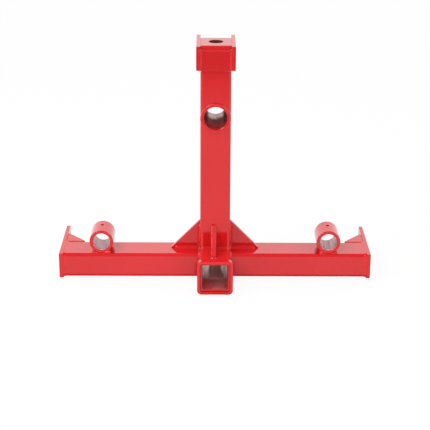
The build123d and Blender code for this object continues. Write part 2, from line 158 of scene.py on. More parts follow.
def glossPaint(name, grain=None, look=paintLook):  # grain: the axis along which the tube was rolled
    material, sheet = newSheet(name)
    where = sheet.place()
    patches = sheet.cloud(where, look["patch"], detail=3.0).step(*look["patchEdges"])
    surface = sheet.bump(sheet.cloud(where, look["peelSize"], detail=1.0), look["peelDepth"])
    if grain is not None:
        stretch = [look["rollStretch"] if axis == grain else 1 for axis in range(3)]
        rolled = sheet.cloud(where, look["rollSize"], stretch=stretch)
        surface = sheet.bump(rolled, look["rollDepth"], surface)
    sheet.finish(sheet.add("ShaderNodeBsdfPrincipled", inputs={
        "Base Color": sheet.blend(patches * look["patchShare"], look["red"], look["deepRed"]),
        "Roughness": look["roughness"] + look["uneven"] * sheet.cloud(where, look["unevenSize"]),
        "Normal": surface,
        "IOR": look["shine"],
        "Coat Weight": look["coat"],
        "Coat Roughness": look["coatRoughness"],
    }))
    return material


weldLook = {
    # painted light: the beads' red is lighter than the tubes' red, for the brighter look of the beads
    "red": (0.70, 0.010, 0.013, 1),
    "thinRed": (0.36, 0.006, 0.008, 1),  # where the paint lies thin over spatter
    "thinSize": 0.009,
    "thinEdges": (0.58, 0.75),
    "thinShare": 0.7,
    "thinRoughness": 0.06,  # added where it is thin
    "roughness": 0.12,
    "lumpSize": 0.0022,
    "lumpDepth": 0.00018,
    "shine": 1.5,
    "coat": 0.5,
    "coatRoughness": 0.05,
}
# painted shade: a darker red for the bead in the recess of the mouth, and a darker, duller red for the beads
# in the shaded corner under a sleeve
recessShadeLook = dict(weldLook, red=(0.34, 0.005, 0.007, 1), thinRed=(0.22, 0.004, 0.005, 1))
shadedLook = dict(recessShadeLook, red=(0.40, 0.005, 0.007, 1), shine=1.2, coat=0.0)


def weldPaint(name, look=weldLook):
    material, sheet = newSheet(name)
    where = sheet.place()
    thin = sheet.cloud(where, look["thinSize"], detail=3.0).step(*look["thinEdges"])
    sheet.finish(sheet.add("ShaderNodeBsdfPrincipled", inputs={
        "Base Color": sheet.blend(thin * look["thinShare"], look["red"], look["thinRed"]),
        "Roughness": look["roughness"] + look["thinRoughness"] * thin,
        "Normal": sheet.bump(sheet.cloud(where, look["lumpSize"]), look["lumpDepth"]),
        "IOR": look["shine"],
        "Coat Weight": look["coat"],
        "Coat Roughness": look["coatRoughness"],
    }))
    return material


# Bare steel in the bores: red spray at both mouths, then paint dust, then clean steel; painted shade darkens
# the sides of the round bores, and in the sleeve a pale painted highlight stands at the mouths in place of
# the spray

boreWear = {  # the same in all of them
    "ragged": 0.012,  # size of the ragged edges of dust, spray and painted highlight, and how far they wander
    "rearStart": 0.001,  # of the spray at the rear mouth, which in the sleeve is a painted highlight
    "lineStretch": (1, 0.06, 1),  # lines of the drawn tube, along the bore
    "lineEdges": (0.35, 0.68),
    "lineRoughness": 0.15,
    "lineDepth": 0.00003,
    "blotchStretch": (1, 0.5, 1),  # places that the spray missed
    "blotchEdges": (0.42, 0.66),
    "darkShare": 0.92,
    "metal": 0.85,
    "metalLost": 0.85,  # share of it lost under dust, spray, the dark band and the painted shade
    "dulledRoughness": 0.2,
    "specular": 0.07,
}
boreLooks = {
    # receiver: its dark colour lies in a band along the middle of the bore
    "receiver": {
        "steel": (0.68, 0.54, 0.51, 1), "dust": (0.62, 0.22, 0.22, 1),
        "sprayAndHighlight": (0.54, 0.072, 0.074, 1), "dark": (0.45, 0.155, 0.16, 1),
        "sprayAndHighlightReach": (0.004, 0.085), "rearSprayAndHighlight": 0.05, "dustReach": (0.045, 0.062),
        "darkBandReach": (0.050, 0.064), "darkBandHalf": (0.009, 0.015), "darkBandLean": 0.12,
        "darkBandEnd": 0.116, "darkBandRagged": 0.25, "darkBandGaps": 0.45,
        "lines": 0.006, "linesShare": 0.30, "blotch": 0.016, "blotchShare": 0.6, "roughness": 0.42,
    },
    # hub: its dark colour is painted shade along both sides of the bore
    "hub": {
        "steel": (0.64, 0.49, 0.46, 1), "dust": (0.64, 0.19, 0.18, 1),
        "sprayAndHighlight": (0.47, 0.012, 0.014, 1), "dark": (0.17, 0.008, 0.008, 1),
        "sprayAndHighlightReach": (0.010, 0.052), "rearSprayAndHighlight": 0.002, "dustReach": (0.066, 0.084),
        "dustCurve": 15, "sideReach": (0.0125, 0.0185), "sideDepth": (0.2, 0.3),
        "lines": 0.004, "linesShare": 0.22, "blotch": 0.012, "blotchShare": 0.25, "roughness": 0.42,
    },
    # sleeve: its pale spray colour is a painted highlight along both mouths, and its dark colour is painted
    # shade at the sides near the front mouth
    "sleeve": {
        "steel": (0.66, 0.43, 0.44, 1), "dust": (0.60, 0.38, 0.39, 1),
        "sprayAndHighlight": (0.86, 0.66, 0.66, 1), "dark": (0.60, 0.36, 0.36, 1),
        "sprayAndHighlightReach": (0.001, 0.006), "rearSprayAndHighlight": 0.004, "dustReach": (0.003, 0.010),
        "dustCurve": 0, "sideReach": (0.010, 0.020), "sideDepth": (0.003, 0.010),
        "lines": 0.005, "linesShare": 0.20, "blotch": 0.012, "blotchShare": 0.0, "roughness": 0.38,
    },
}


def bareBore(name, node):
    look = {**boreWear, **boreLooks[name]}
    low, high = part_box(node)
    material, sheet = newSheet(name + "Bore")
    where = sheet.place()
    across, along = sheet.axes(where)[:2]
    ragged = sheet.cloud(where, look["ragged"], detail=3.0) * (2 * look["ragged"]) - look["ragged"]
    depth = along - low.y + ragged
    height = high.y - along + ragged
    rearSprayAndHighlight = 1 - height.step(look["rearStart"], look["rearSprayAndHighlight"])
    sprayAndHighlight = (1 - depth.step(*look["sprayAndHighlightReach"])).most(rearSprayAndHighlight)
    lines = sheet.cloud(where, look["lines"], stretch=look["lineStretch"]).step(*look["lineEdges"])
    if "darkBandReach" in look:  # a dark band along the middle of the bore, wider towards the mouth and to the right
        dust = 1 - depth.step(*look["dustReach"])
        wider = (look["darkBandEnd"] - depth) * (look["darkBandLean"] / 2)
        beside = (across + ragged * look["darkBandRagged"] - wider).size() - wider
        middle = 1 - beside.step(*look["darkBandHalf"])
        darkBandAndSideShade = depth.step(*look["darkBandReach"]) * middle * (1 - look["darkBandGaps"] * lines)
    else:  # the dust lies deeper at the sides, and painted shade darkens the sides
        dust = 1 - (depth - across * across * look["dustCurve"]).step(*look["dustReach"])
        darkBandAndSideShade = across.size().step(*look["sideReach"]) * (1 - depth.step(*look["sideDepth"]))
    ground = sheet.blend(dust.most(lines * look["linesShare"]), look["steel"], look["dust"])
    ground = sheet.blend(darkBandAndSideShade * look["darkShare"], ground, look["dark"])
    dulled = dust.most(sprayAndHighlight).most(darkBandAndSideShade)
    blotches = sheet.cloud(where, look["blotch"], stretch=look["blotchStretch"]).step(*look["blotchEdges"])
    missed = blotches * look["blotchShare"]
    sheet.finish(sheet.add("ShaderNodeBsdfPrincipled", inputs={
        "Base Color": sheet.blend(sprayAndHighlight * (1 - missed), ground, look["sprayAndHighlight"]),
        "Metallic": look["metal"] * (1 - dulled * look["metalLost"]),
        "Roughness": look["roughness"] + look["lineRoughness"] * lines + look["dulledRoughness"] * dulled,
        "Specular IOR Level": look["specular"],
        "Normal": sheet.bump(lines, look["lineDepth"]),
    }))
    return material


drilledLook = {
    "steel": (0.13, 0.075, 0.065, 1),
    "sprayAndHighlight": (0.22, 0.010, 0.010, 1),
    "spot": 0.009,
    "spotEdges": (0.40, 0.62),
    "metal": 0.6,
    "roughness": 0.4,
    "specular": 0.2,
}


def drilledSteel(look=drilledLook):  # dark walls of the ball hole and the set screw holes; the dark colour also stands for the shade inside them
    material, sheet = newSheet("drilledSteel")
    spots = sheet.cloud(sheet.place(), look["spot"], detail=3.0).step(*look["spotEdges"])
    sheet.finish(sheet.add("ShaderNodeBsdfPrincipled", inputs={
        "Base Color": sheet.blend(spots, look["steel"], look["sprayAndHighlight"]),
        "Metallic": look["metal"] * (1 - spots),
        "Roughness": look["roughness"],
        "Specular IOR Level": look["specular"],
    }))
    return material


plainPaint = glossPaint("plainPaint")
# painted shade: the bracket at the top gets a darker copy of the red, for the dimmer light that falls there
shadedBracketPaint = glossPaint("shadedBracketPaint", None, dict(paintLook, red=(0.575, 0.010, 0.013, 1)))
# painted light: the rib, the collar and the receiver get lighter copies of the red, for the stronger light
# on the front of the frame, and the half tubes a copy with a painted sheen in its colour
litRibPaint = glossPaint("litRibPaint", None, dict(paintLook, red=(0.68, 0.024, 0.026, 1)))
litCollarPaint = glossPaint("litCollarPaint", None, dict(paintLook, red=(0.69, 0.013, 0.016, 1), patchShare=0.1))
sheenPaintAlongX = glossPaint("sheenPaintAlongX", 0, dict(paintLook, red=(0.67, 0.014, 0.018, 1)))
litPaintAlongY = glossPaint("litPaintAlongY", 1, dict(paintLook, red=(0.74, 0.020, 0.022, 1)))
paintAlongZ = glossPaint("paintAlongZ", 2)
beadPaint = weldPaint("weldPaint")
recessShadePaint = weldPaint("recessShadePaint", recessShadeLook)
shadedPaint = weldPaint("shadedPaint", shadedLook)
print("finishes made")


# Painted steel pieces, softened copies of the CAD parts

softLook = {
    "merge": 0.00001,
    "flatAngle": 0.4,  # degrees; flatter joints between faces are dissolved
    "leastAngle": 40,  # sharper edges are rounded
    "segments": 3,
    "sharpAngle": 38,  # sharper edges are shaded sharp
}


def keepPiece(name, bm, materials, nodes):
    mesh = bpy.data.meshes.new(name)
    bm.to_mesh(mesh)
    bm.free()
    for material in materials:
        mesh.materials.append(material)
    mesh.shade_smooth()
    mesh.set_sharp_from_angle(angle=math.radians(softLook["sharpAngle"]))
    piece = bpy.data.objects.new(name, mesh)
    bpy.context.scene.collection.objects.link(piece)
    even = piece.modifiers.new("evenNormals", "WEIGHTED_NORMAL")
    even.keep_sharp = True
    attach(piece, "root")
    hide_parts(*nodes)


def softCopy(node, edgeWidth, look=softLook):
    bm = bmesh.new()
    bm.from_mesh(frame["nodes"][node].data)
    bmesh.ops.remove_doubles(bm, verts=bm.verts, dist=look["merge"])
    bmesh.ops.dissolve_limit(bm, angle_limit=math.radians(look["flatAngle"]), verts=bm.verts, edges=bm.edges)
    least = math.radians(look["leastAngle"])
    edges = [e for e in bm.edges if len(e.link_faces) == 2 and e.calc_face_angle() > least]
    bmesh.ops.bevel(bm, geom=edges, offset=edgeWidth * mm, offset_type="OFFSET", affect="EDGES",
                    segments=look["segments"], profile=0.5, material=-1, clamp_overlap=False)
    bmesh.ops.recalc_face_normals(bm, faces=bm.faces)
    return bm


frameLook = {  # piece: CAD node, width of its rounded edges in mm, paint, kinds of bore
    "receiverTube": ("receiver_tube", 0.5, litPaintAlongY, ("receiver",)),
    "receiverCollar": ("receiver_collar", 0.6, litCollarPaint, ()),
    "mastTube": ("mast_tube", 0.4, paintAlongZ, ()),
    "mastHub": ("mast_hub", 0.3, plainPaint, ("hub",)),
    "frontRib": ("front_rib", 0.8, litRibPaint, ()),
    "crossTubeLeft": ("cross_tube_left", 0.4, sheenPaintAlongX, ()),
    "crossTubeRight": ("cross_tube_right", 0.4, sheenPaintAlongX, ()),
    "endPlateLeft": ("end_plate_left", 0.4, plainPaint, ()),
    "endPlateRight": ("end_plate_right", 0.4, plainPaint, ()),
    "endGussetLeft": ("end_gusset_left", 0.7, plainPaint, ()),
    "endGussetRight": ("end_gusset_right", 0.7, plainPaint, ()),
    "mastGussetLeft": ("mast_gusset_left", 0.5, plainPaint, ()),
    "mastGussetRight": ("mast_gusset_right", 0.5, plainPaint, ()),
    "spearSleeveLeft": ("spear_sleeve_left", 0.3, plainPaint, ("sleeve", "screw")),
    "spearSleeveRight": ("spear_sleeve_right", 0.3, plainPaint, ("sleeve", "screw")),
    "ballPlate": ("ball_plate", 0.6, shadedBracketPaint, ("ball",)),
    "topEarLeft": ("top_ear_left", 0.5, shadedBracketPaint, ()),
    "topEarRight": ("top_ear_right", 0.5, shadedBracketPaint, ()),
}
drilled = drilledSteel()
boreShapes = {  # the way it runs, its shape, the farthest that its wall lies from the axis, and its finish
    "receiver": ("y", "square", 0.0258, bareBore("receiver", "receiver_tube")),
    "hub": ("y", "round", 0.0233, bareBore("hub", "mast_hub")),
    "sleeve": ("y", "round", 0.0178, bareBore("sleeve", "spear_sleeve_left")),
    "screw": ("z", "round", 0.0037, drilled),
    "ball": ("z", "round", 0.0143, drilled),
}
mounts = {mount["name"]: Vector(mount["pos_m"]) for mount in frame["record"]["mounts"]}
drilledAt = {
    "ballPlate": mounts["ball_bore"],
    "spearSleeveLeft": mounts["set_screw_hole_left"],
    "spearSleeveRight": mounts["set_screw_hole_right"],
}
wallTilt = 0.3  # most that a wall's normal leans along its bore


def isBoreWall(face, axis, way, shape, reach):
    if abs(getattr(face.normal, way)) > wallTilt:
        return False
    away = face.calc_center_median() - axis
    across, up = away.x, away.z if way == "y" else away.y
    if shape == "square":
        return max(abs(across), abs(up)) < reach
    return math.hypot(across, up) < reach


for name, (node, edgeWidth, paint, bores) in frameLook.items():
    bm = softCopy(node, edgeWidth)
    materials = [paint]
    for bore in bores:
        way, shape, reach, finish = boreShapes[bore]
        axis = drilledAt[name] if way == "z" else sum(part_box(node), Vector()) / 2
        materials.append(finish)
        for face in bm.faces:
            if isBoreWall(face, axis, way, shape, reach):
                face.material_index = len(materials) - 1
    keepPiece(name, bm, materials, [node])
print("steel pieces made")


# Weld beads; their sizes are in mm

beadLook = {
    "pitch": 2.4,  # from one ripple to the next
    "fewest": 6,  # ripples on a short bead
    "ringsPerRipple": 5,
    "across": 8,
    "ripple": 0.24,  # share of the bead's bulge
    "rippleWidth": 1.7,  # each ripple is the top of a circle of radius 1, cut this wide
    "rippleLevel": 0.75,  # height on that circle where it changes nothing
    "rippleSpread": 0.15,  # how far it widens the bead
    "rippleFlat": 0.25,  # how far it stands out on a flat bead
    "sweep": 0.55,  # how far a ripple bows ahead in the middle, in ripples
    "wander": 0.10,  # slow change of the bead's size
    "wanderLength": 14.0,
    "wanderStart": (3.1, 1.7, 0.4),
    "runOut": 3.0,  # length over which an open end gets its full size
    "endSize": 0.08,
    "merge": 0.00001,  # metres
    "ringMerge": 0.000001,
}


def alongRun(stations, lengths, distance):
    # root point and both arms at a distance along the run
    for i in range(len(lengths)):
        if distance <= lengths[i] or i == len(lengths) - 1:
            share = min(1.0, distance / lengths[i]) if lengths[i] else 0.0
            return [Vector(a).lerp(Vector(b), share) for a, b in zip(stations[i], stations[i + 1])]
        distance -= lengths[i]


def layBead(bm, stations, bulge, closed=False, blunt=False, look=beadLook):
    # one run of weld: stations hold a root point and the arms from it to the bead's two toes
    if closed:
        stations = stations + [stations[0]]
    middles = [Vector(root) + (Vector(armA) + Vector(armB)) / 2 for root, armA, armB in stations]
    lengths = [(b - a).length for a, b in zip(middles, middles[1:])]
    total = sum(lengths)
    rings = max(look["fewest"], round(total / look["pitch"])) * look["ringsPerRipple"]
    made = bmesh.ops.create_grid(bm, x_segments=rings, y_segments=look["across"], size=0.5)["verts"]
    roots = {}
    for vert in made:
        distance, s = (vert.co.x + 0.5) * total, vert.co.y + 0.5
        root, armA, armB = alongRun(stations, lengths, distance)
        out = (armA.normalized() + armB.normalized()).normalized()
        size = 1 + look["wander"] * noise.noise(root / look["wanderLength"] + Vector(look["wanderStart"]))
        if not closed and not blunt:  # rounded run-out at both ends
            size *= min(1.0, math.sqrt(min(distance, total - distance) / look["runOut"] + look["endSize"]))
        belly = 4 * s * (1 - s)
        phase = (distance / look["pitch"] + look["sweep"] * belly) % 1.0
        aside = look["rippleWidth"] * phase - look["rippleWidth"] / 2
        ripple = math.sqrt(max(0.0, 1 - aside ** 2)) - look["rippleLevel"]
        face = armA.lerp(armB, s) * size * (1 + look["rippleSpread"] * look["ripple"] * ripple)
        height = bulge * belly * size + look["ripple"] * ripple * (look["rippleFlat"] + bulge * belly)
        roots[vert] = root * mm
        vert.co = (root + face + out * height) * mm
    if closed:
        bmesh.ops.remove_doubles(bm, verts=made, dist=look["ringMerge"])
        made = [v for v in made if v.is_valid]
    rim = [e for e in {e for v in made for e in v.link_edges} if e.is_boundary]
    skirt = bmesh.ops.extrude_edge_only(bm, edges=rim)["geom"]
    low = [v for v in skirt if isinstance(v, bmesh.types.BMVert)]
    for vert in low:
        vert.co = next(roots[e.other_vert(vert)] for e in vert.link_edges if e.other_vert(vert) in roots)
    bmesh.ops.remove_doubles(bm, verts=low, dist=look["merge"])


def straight(start, end, armA, armB):
    return [(start, armA, armB), (end, armA, armB)]


def cornered(points, radius, steps=6):
    # a path in a plane through the corners, each rounded, as points with their outward normals
    path = []
    for i in range(1, len(points) - 1):
        before, corner, after = (Vector(p) for p in points[i - 1:i + 2])
        inward, onward = (corner - before).normalized(), (after - corner).normalized()
        centre = corner - inward * radius + onward * radius
        for k in range(steps + 1):
            turn = math.pi / 2 * k / steps
            normal = -onward * math.cos(turn) + inward * math.sin(turn)
            path.append((centre + normal * radius, normal))
    return [(Vector(points[0]), path[0][1])] + path + [(Vector(points[-1]), path[-1][1])]


def listInOrder(bm):
    # extruding lists the new points and faces in another order each run, so they are put in order by place
    for index, vert in enumerate(sorted(bm.verts, key=lambda v: v.co.to_tuple())):
        vert.index = index
    for index, face in enumerate(sorted(bm.faces, key=lambda f: sorted(v.index for v in f.verts))):
        face.index = index
    bm.verts.sort()
    bm.faces.sort()


def keepBead(name, runs, node, paint=beadPaint, shadedRuns=()):
    bm = bmesh.new()
    for run in shadedRuns:
        layBead(bm, *run)
    for face in bm.faces:
        face.material_index = 1
    for run in runs:
        layBead(bm, *run)
    bmesh.ops.recalc_face_normals(bm, faces=bm.faces)
    listInOrder(bm)
    keepPiece(name, bm, [paint, shadedPaint] if shadedRuns else [paint], [node])


def corners(node):  # lowest and highest corner of a CAD part
    return [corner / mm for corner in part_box(node)]


receiverLow, receiverHigh = corners("receiver_tube")
mastLow, mastHigh = corners("mast_tube")
tubeLow, tubeHigh = corners("cross_tube_right")
gussetLow, gussetHigh = corners("mast_gusset_right")
endGussetLow, endGussetHigh = corners("end_gusset_right")
hubLow, hubHigh = corners("mast_hub")
ribLow, ribHigh = corners("front_rib")
sleeveLow, sleeveHigh = corners("spear_sleeve_right")
plateLow, plateHigh = corners("ball_plate")
collarBack = corners("receiver_collar")[1].y
receiverMiddle = (receiverLow + receiverHigh) / 2
mastSide = mastHigh.x

# behind the collar, all round the receiver, and inside its mouth
collarBead = {"leg": 4.6, "bulge": 0.6, "corner": 5, "mouthLeg": 1.9, "mouthBulge": -0.3}


def squareLoop(y, half, radius):
    ring = [(0, -half), (half, -half), (half, half), (-half, half), (-half, -half), (0, -half)]
    return cornered([(x, y, z + receiverMiddle.z) for x, z in ring], radius)[:-1]


outside = squareLoop(collarBack, receiverHigh.x, collarBead["corner"])
leg = collarBead["leg"]
run = [(p, n * leg, (0, leg, 0)) for p, n in outside], collarBead["bulge"], True
keepBead("beadCollar", [run], "weld_collar")
inside = squareLoop(receiverLow.y, receiverHigh.x, collarBead["corner"])
leg = collarBead["mouthLeg"]
run = [(p, -n * leg, (0, -leg, 0)) for p, n in inside], collarBead["mouthBulge"], True
# painted shade: the bead in the mouth's recess gets the darker red
keepBead("beadMouth", [run], "weld_mouth", recessShadePaint)

# rings round the hub
hubBead = {"reach": 4.2, "proud": 3.0, "bulge": 1.8, "stations": 48}
hubMiddle = (hubLow + hubHigh) / 2
hubRadius = hubHigh.x
for end, faceY, outwards in (("Front", mastLow.y, -1), ("Rear", mastHigh.y, 1)):
    ring = []
    for k in range(hubBead["stations"]):
        turn = 2 * math.pi * k / hubBead["stations"]
        radial = Vector((math.cos(turn), 0, math.sin(turn)))
        root = radial * hubRadius + Vector((0, faceY, hubMiddle.z))
        ring.append((root, radial * hubBead["reach"], (0, outwards * hubBead["proud"], 0)))
    keepBead("beadHub" + end, [(ring, hubBead["bulge"], True)], "weld_hub_" + end.lower())

# joints of the half tubes with the receiver
tubeBead = {"leg": 4.6, "bulge": 0.5, "corner": 7, "above": 2}
leg = tubeBead["leg"]
for hand, side in hands:
    x, top, bottom = side * mastSide, tubeHigh.z, tubeLow.z + tubeBead["above"]
    over = [(x, tubeLow.y, bottom), (x, tubeLow.y, top), (x, gussetLow.y, top)]
    behind = [(x, gussetHigh.y, top), (x, tubeHigh.y, top), (x, tubeHigh.y, bottom)]
    runs = []
    for path in (over, behind):
        stations = [(p, n * leg, (side * leg, 0, 0)) for p, n in cornered(path, tubeBead["corner"])]
        runs.append((stations, tubeBead["bulge"]))
    keepBead("beadReceiver" + hand, runs, "weld_receiver_" + hand.lower())

# flat seams round the ends of the tubes, inside the rim of the plates, and the fillet behind
seamBead = {
    "rim": 1.0,
    "width": 5.0,
    "bulge": 0.15,
    "corner": 7,
    "past": 0.5,  # how far it runs past the tube's back
    "join": 20,  # from its rear end to where its two runs meet under the tube
    "leg": 4.8,
    "filletBulge": 0.5,
    "filletFoot": 7,
    "filletTop": 5,
}
for hand, side in hands:
    x, back = side * tubeHigh.x, tubeHigh.y + seamBead["past"]
    rim, across = seamBead["rim"], Vector((-side * seamBead["width"], 0, 0))
    join = (x, back - seamBead["join"], tubeLow.z)
    path = [join, (x, tubeLow.y, tubeLow.z), (x, tubeLow.y, tubeHigh.z), (x, back, tubeHigh.z)]
    over = [(p, n * rim, across) for p, n in cornered(path, seamBead["corner"])]
    under = straight((x, back, tubeLow.z), join, (0, 0, -rim), across)
    leg = seamBead["leg"]
    foot = (x, tubeHigh.y, tubeLow.z + seamBead["filletFoot"])
    top = (x, tubeHigh.y, endGussetLow.z - seamBead["filletTop"])
    fillet = straight(foot, top, (-side * leg, 0, 0), (0, leg, 0))
    runs = [(over, seamBead["bulge"]), (under, seamBead["bulge"]), (fillet, seamBead["filletBulge"])]
    keepBead("beadEndPlate" + hand, runs, "weld_end_plate_" + hand.lower())

# under the flat corner gussets, and in the groove between each one and the tube's rounded edge
cornerBead = {
    "leg": 4.8,
    "bulge": 0.5,
    "grooveBack": 1.2,
    "grooveDown": 3.6,
    "grooveOver": 1,  # how far the groove's run passes the gusset's tip
    "grooveLeg": 2.9,
    "grooveLean": (0.8, 0.5),  # shares of it: how far the front arm rises, and the rear arm leans back
    "grooveBulge": 0.2,
}
for hand, side in hands:
    x, back, under, leg = side * tubeHigh.x, tubeHigh.y, endGussetLow.z, cornerBead["leg"]
    outer, inner, rear = (x, back, under), (side * endGussetLow.x, back, under), (x, endGussetHigh.y, under)
    runs = [(straight(outer, inner, (0, leg, 0), (0, 0, -leg)), cornerBead["bulge"])]
    grooveY, grooveZ = back - cornerBead["grooveBack"], endGussetHigh.z - cornerBead["grooveDown"]
    tip = (inner[0] + side * cornerBead["grooveOver"], grooveY, grooveZ)
    reach, (rise, lean) = cornerBead["grooveLeg"], cornerBead["grooveLean"]
    groove = straight((x, grooveY, grooveZ), tip, (0, -reach * rise, reach * rise), (0, reach * lean, reach))
    runs.append((groove, cornerBead["grooveBulge"], False, True))
    runs.append((straight(outer, rear, (-side * leg, 0, 0), (0, 0, -leg)), cornerBead["bulge"]))
    keepBead("beadEndGusset" + hand, runs, "weld_end_gusset_" + hand.lower())

# foot of the mast: fillets in front and behind, flare beads at the sides
footBead = {
    "leg": 5.6,
    "bulge": 0.6,
    "inset": 2,
    "flareInset": 3,
    "flareUp": 5.0,
    "flareDown": 4.5,
    "flareBulge": 2.6,
    "gussetGap": 2,
}
runs = []
deck, half = mastLow.z, mastSide - footBead["inset"]
for faceY, outwards in ((mastLow.y, -1), (mastHigh.y, 1)):
    arms = (0, outwards * footBead["leg"], 0), (0, 0, footBead["leg"])
    runs.append((straight((-half, faceY, deck), (half, faceY, deck), *arms), footBead["bulge"]))
beforeGusset, afterGusset = gussetLow.y - footBead["gussetGap"], gussetHigh.y + footBead["gussetGap"]
for hand, side in hands:
    x, out = side * (mastSide - footBead["flareInset"]), side * footBead["flareInset"]
    for start, end in ((mastLow.y, beforeGusset), (afterGusset, mastHigh.y)):
        arms = (out, 0, footBead["flareUp"]), (out, 0, -footBead["flareDown"])
        runs.append((straight((x, start, deck), (x, end, deck), *arms), footBead["flareBulge"]))
keepBead("beadMastFoot", runs, "weld_mast_foot")

# both sides of the front rib, and across its front tip
ribBead = {"leg": 2.0, "bulge": 0.2, "tipLeg": 2.4, "tipOver": 0.3}
runs = []
leg, bulge = ribBead["leg"], ribBead["bulge"]
for x, side in ((ribLow.x, -1), (ribHigh.x, 1)):
    root = (x, mastLow.y, deck)
    runs.append((straight((x, ribLow.y, deck), root, (side * leg, 0, 0), (0, 0, leg)), bulge))
    runs.append((straight(root, (x, mastLow.y, ribHigh.z), (side * leg, 0, 0), (0, -leg, 0)), bulge))
leg, left, right = ribBead["tipLeg"], ribLow.x - ribBead["tipOver"], ribHigh.x + ribBead["tipOver"]
runs.append((straight((left, ribLow.y, deck), (right, ribLow.y, deck), (0, -leg, 0), (0, 0, leg)), bulge))
keepBead("beadRib", runs, "weld_rib")

# front and back of the upright gussets
gussetBead = {"leg": 5.6, "bulge": 0.7, "runOut": 7}
leg, bulge = gussetBead["leg"], gussetBead["bulge"]
for hand, side in hands:
    runs = []
    near, far = side * mastSide, side * (gussetHigh.x - gussetBead["runOut"])
    for faceY, outwards in ((gussetLow.y, -1), (gussetHigh.y, 1)):
        root = (near, faceY, tubeHigh.z)
        tip = (near, faceY, gussetHigh.z - gussetBead["runOut"])
        runs.append((straight(root, (far, faceY, tubeHigh.z), (0, outwards * leg, 0), (0, 0, leg)), bulge))
        runs.append((straight(root, tip, (side * leg, 0, 0), (0, outwards * leg, 0)), bulge))
    keepBead("beadGusset" + hand, runs, "weld_gusset_" + hand.lower())

# feet of the round sleeves
sleeveBead = {
    "root": 10,
    "side": (9, 7.4, 6.6),  # foot out, crest out and crest up from the root
    "innerFront": (15.5, 10.5, 13),  # the same at the front end nearer the mast
    "narrowed": 12,  # how far back the bead has its plain width again
    "bulge": 0.2,
    "end": 2.2,  # the runs under the sleeve's two ends
    "endUp": 1.1,
    "endSunk": 0.4,
    "endBulge": 0.4,
    "endStep": 3,
    "endSteps": (-6, 5),  # it ends sooner on the outer side
}
sleeveX = (sleeveLow.x + sleeveHigh.x) / 2
sleeveRadius = (sleeveHigh.x - sleeveLow.x) / 2
for hand, side in hands:
    x, deckZ = side * sleeveX, tubeHigh.z
    runs, shadedRuns = [], []  # side beads as long as the sleeve, the inner one in shade
    for way in (-1, 1):
        inShade = way == -side
        frontShape = "innerFront" if inShade else "side"
        root = x + way * sleeveBead["root"]
        front, plain = (
            [(way * foot, 0, 0), (way * crestOut, 0, crestUp)]
            for foot, crestOut, crestUp in (sleeveBead[shape] for shape in (frontShape, "side"))
        )
        run = [
            ((root, sleeveLow.y, deckZ), *front),
            ((root, sleeveLow.y + sleeveBead["narrowed"], deckZ), *plain),
            ((root, sleeveHigh.y, deckZ), *plain),
        ]
        (shadedRuns if inShade else runs).append((run, sleeveBead["bulge"], False, inShade))
    for faceY, outwards in ((sleeveLow.y, -1), (sleeveHigh.y, 1)):
        stations = []
        for k in range(*sleeveBead["endSteps"]):
            away = side * k * sleeveBead["endStep"]
            rise = sleeveRadius - math.sqrt(sleeveRadius ** 2 - away ** 2)
            root = (x + away, faceY, deckZ - sleeveBead["endSunk"])
            stations.append((root, (0, outwards * sleeveBead["end"], 0), (0, 0, sleeveBead["endUp"] + rise)))
        runs.append((stations, sleeveBead["endBulge"]))
    keepBead("beadSleeve" + hand, runs, "weld_sleeve_" + hand.lower(), shadedRuns=shadedRuns)

# upright beads between the web and the ears, and the bead under the bracket
bracketBead = {
    "onWeb": 3.0,
    "onEar": 4.6,
    "lead": 2.5,  # how far the ear's toe lies in front
    "footInset": 0.5,
    "topInset": 5,
    "leg": 4.8,
    "bulge": 0.4,
    "corner": 6,
    "backInset": 6,
}
runs = []
for hand, side in hands:
    start = (side * mastSide, plateLow.y, plateLow.z + bracketBead["footInset"])
    end = (side * mastSide, plateLow.y, plateHigh.z - bracketBead["topInset"])
    arms = (-side * bracketBead["onWeb"], 0, 0), (side * bracketBead["onEar"], -bracketBead["lead"], 0)
    runs.append((straight(start, end, *arms), bracketBead["bulge"]))
keepBead("beadEars", runs, "weld_ears")
rear, front, low, leg = mastHigh.y - bracketBead["backInset"], mastLow.y, plateLow.z, bracketBead["leg"]
path = [(-mastSide, rear, low), (-mastSide, front, low), (mastSide, front, low), (mastSide, rear, low)]
stations = [(p, n * leg, (0, 0, -leg)) for p, n in cornered(path, bracketBead["corner"])]
keepBead("beadBracket", [(stations, bracketBead["bulge"])], "weld_bracket")
print("weld beads made")


# Floor, world, lamps and camera

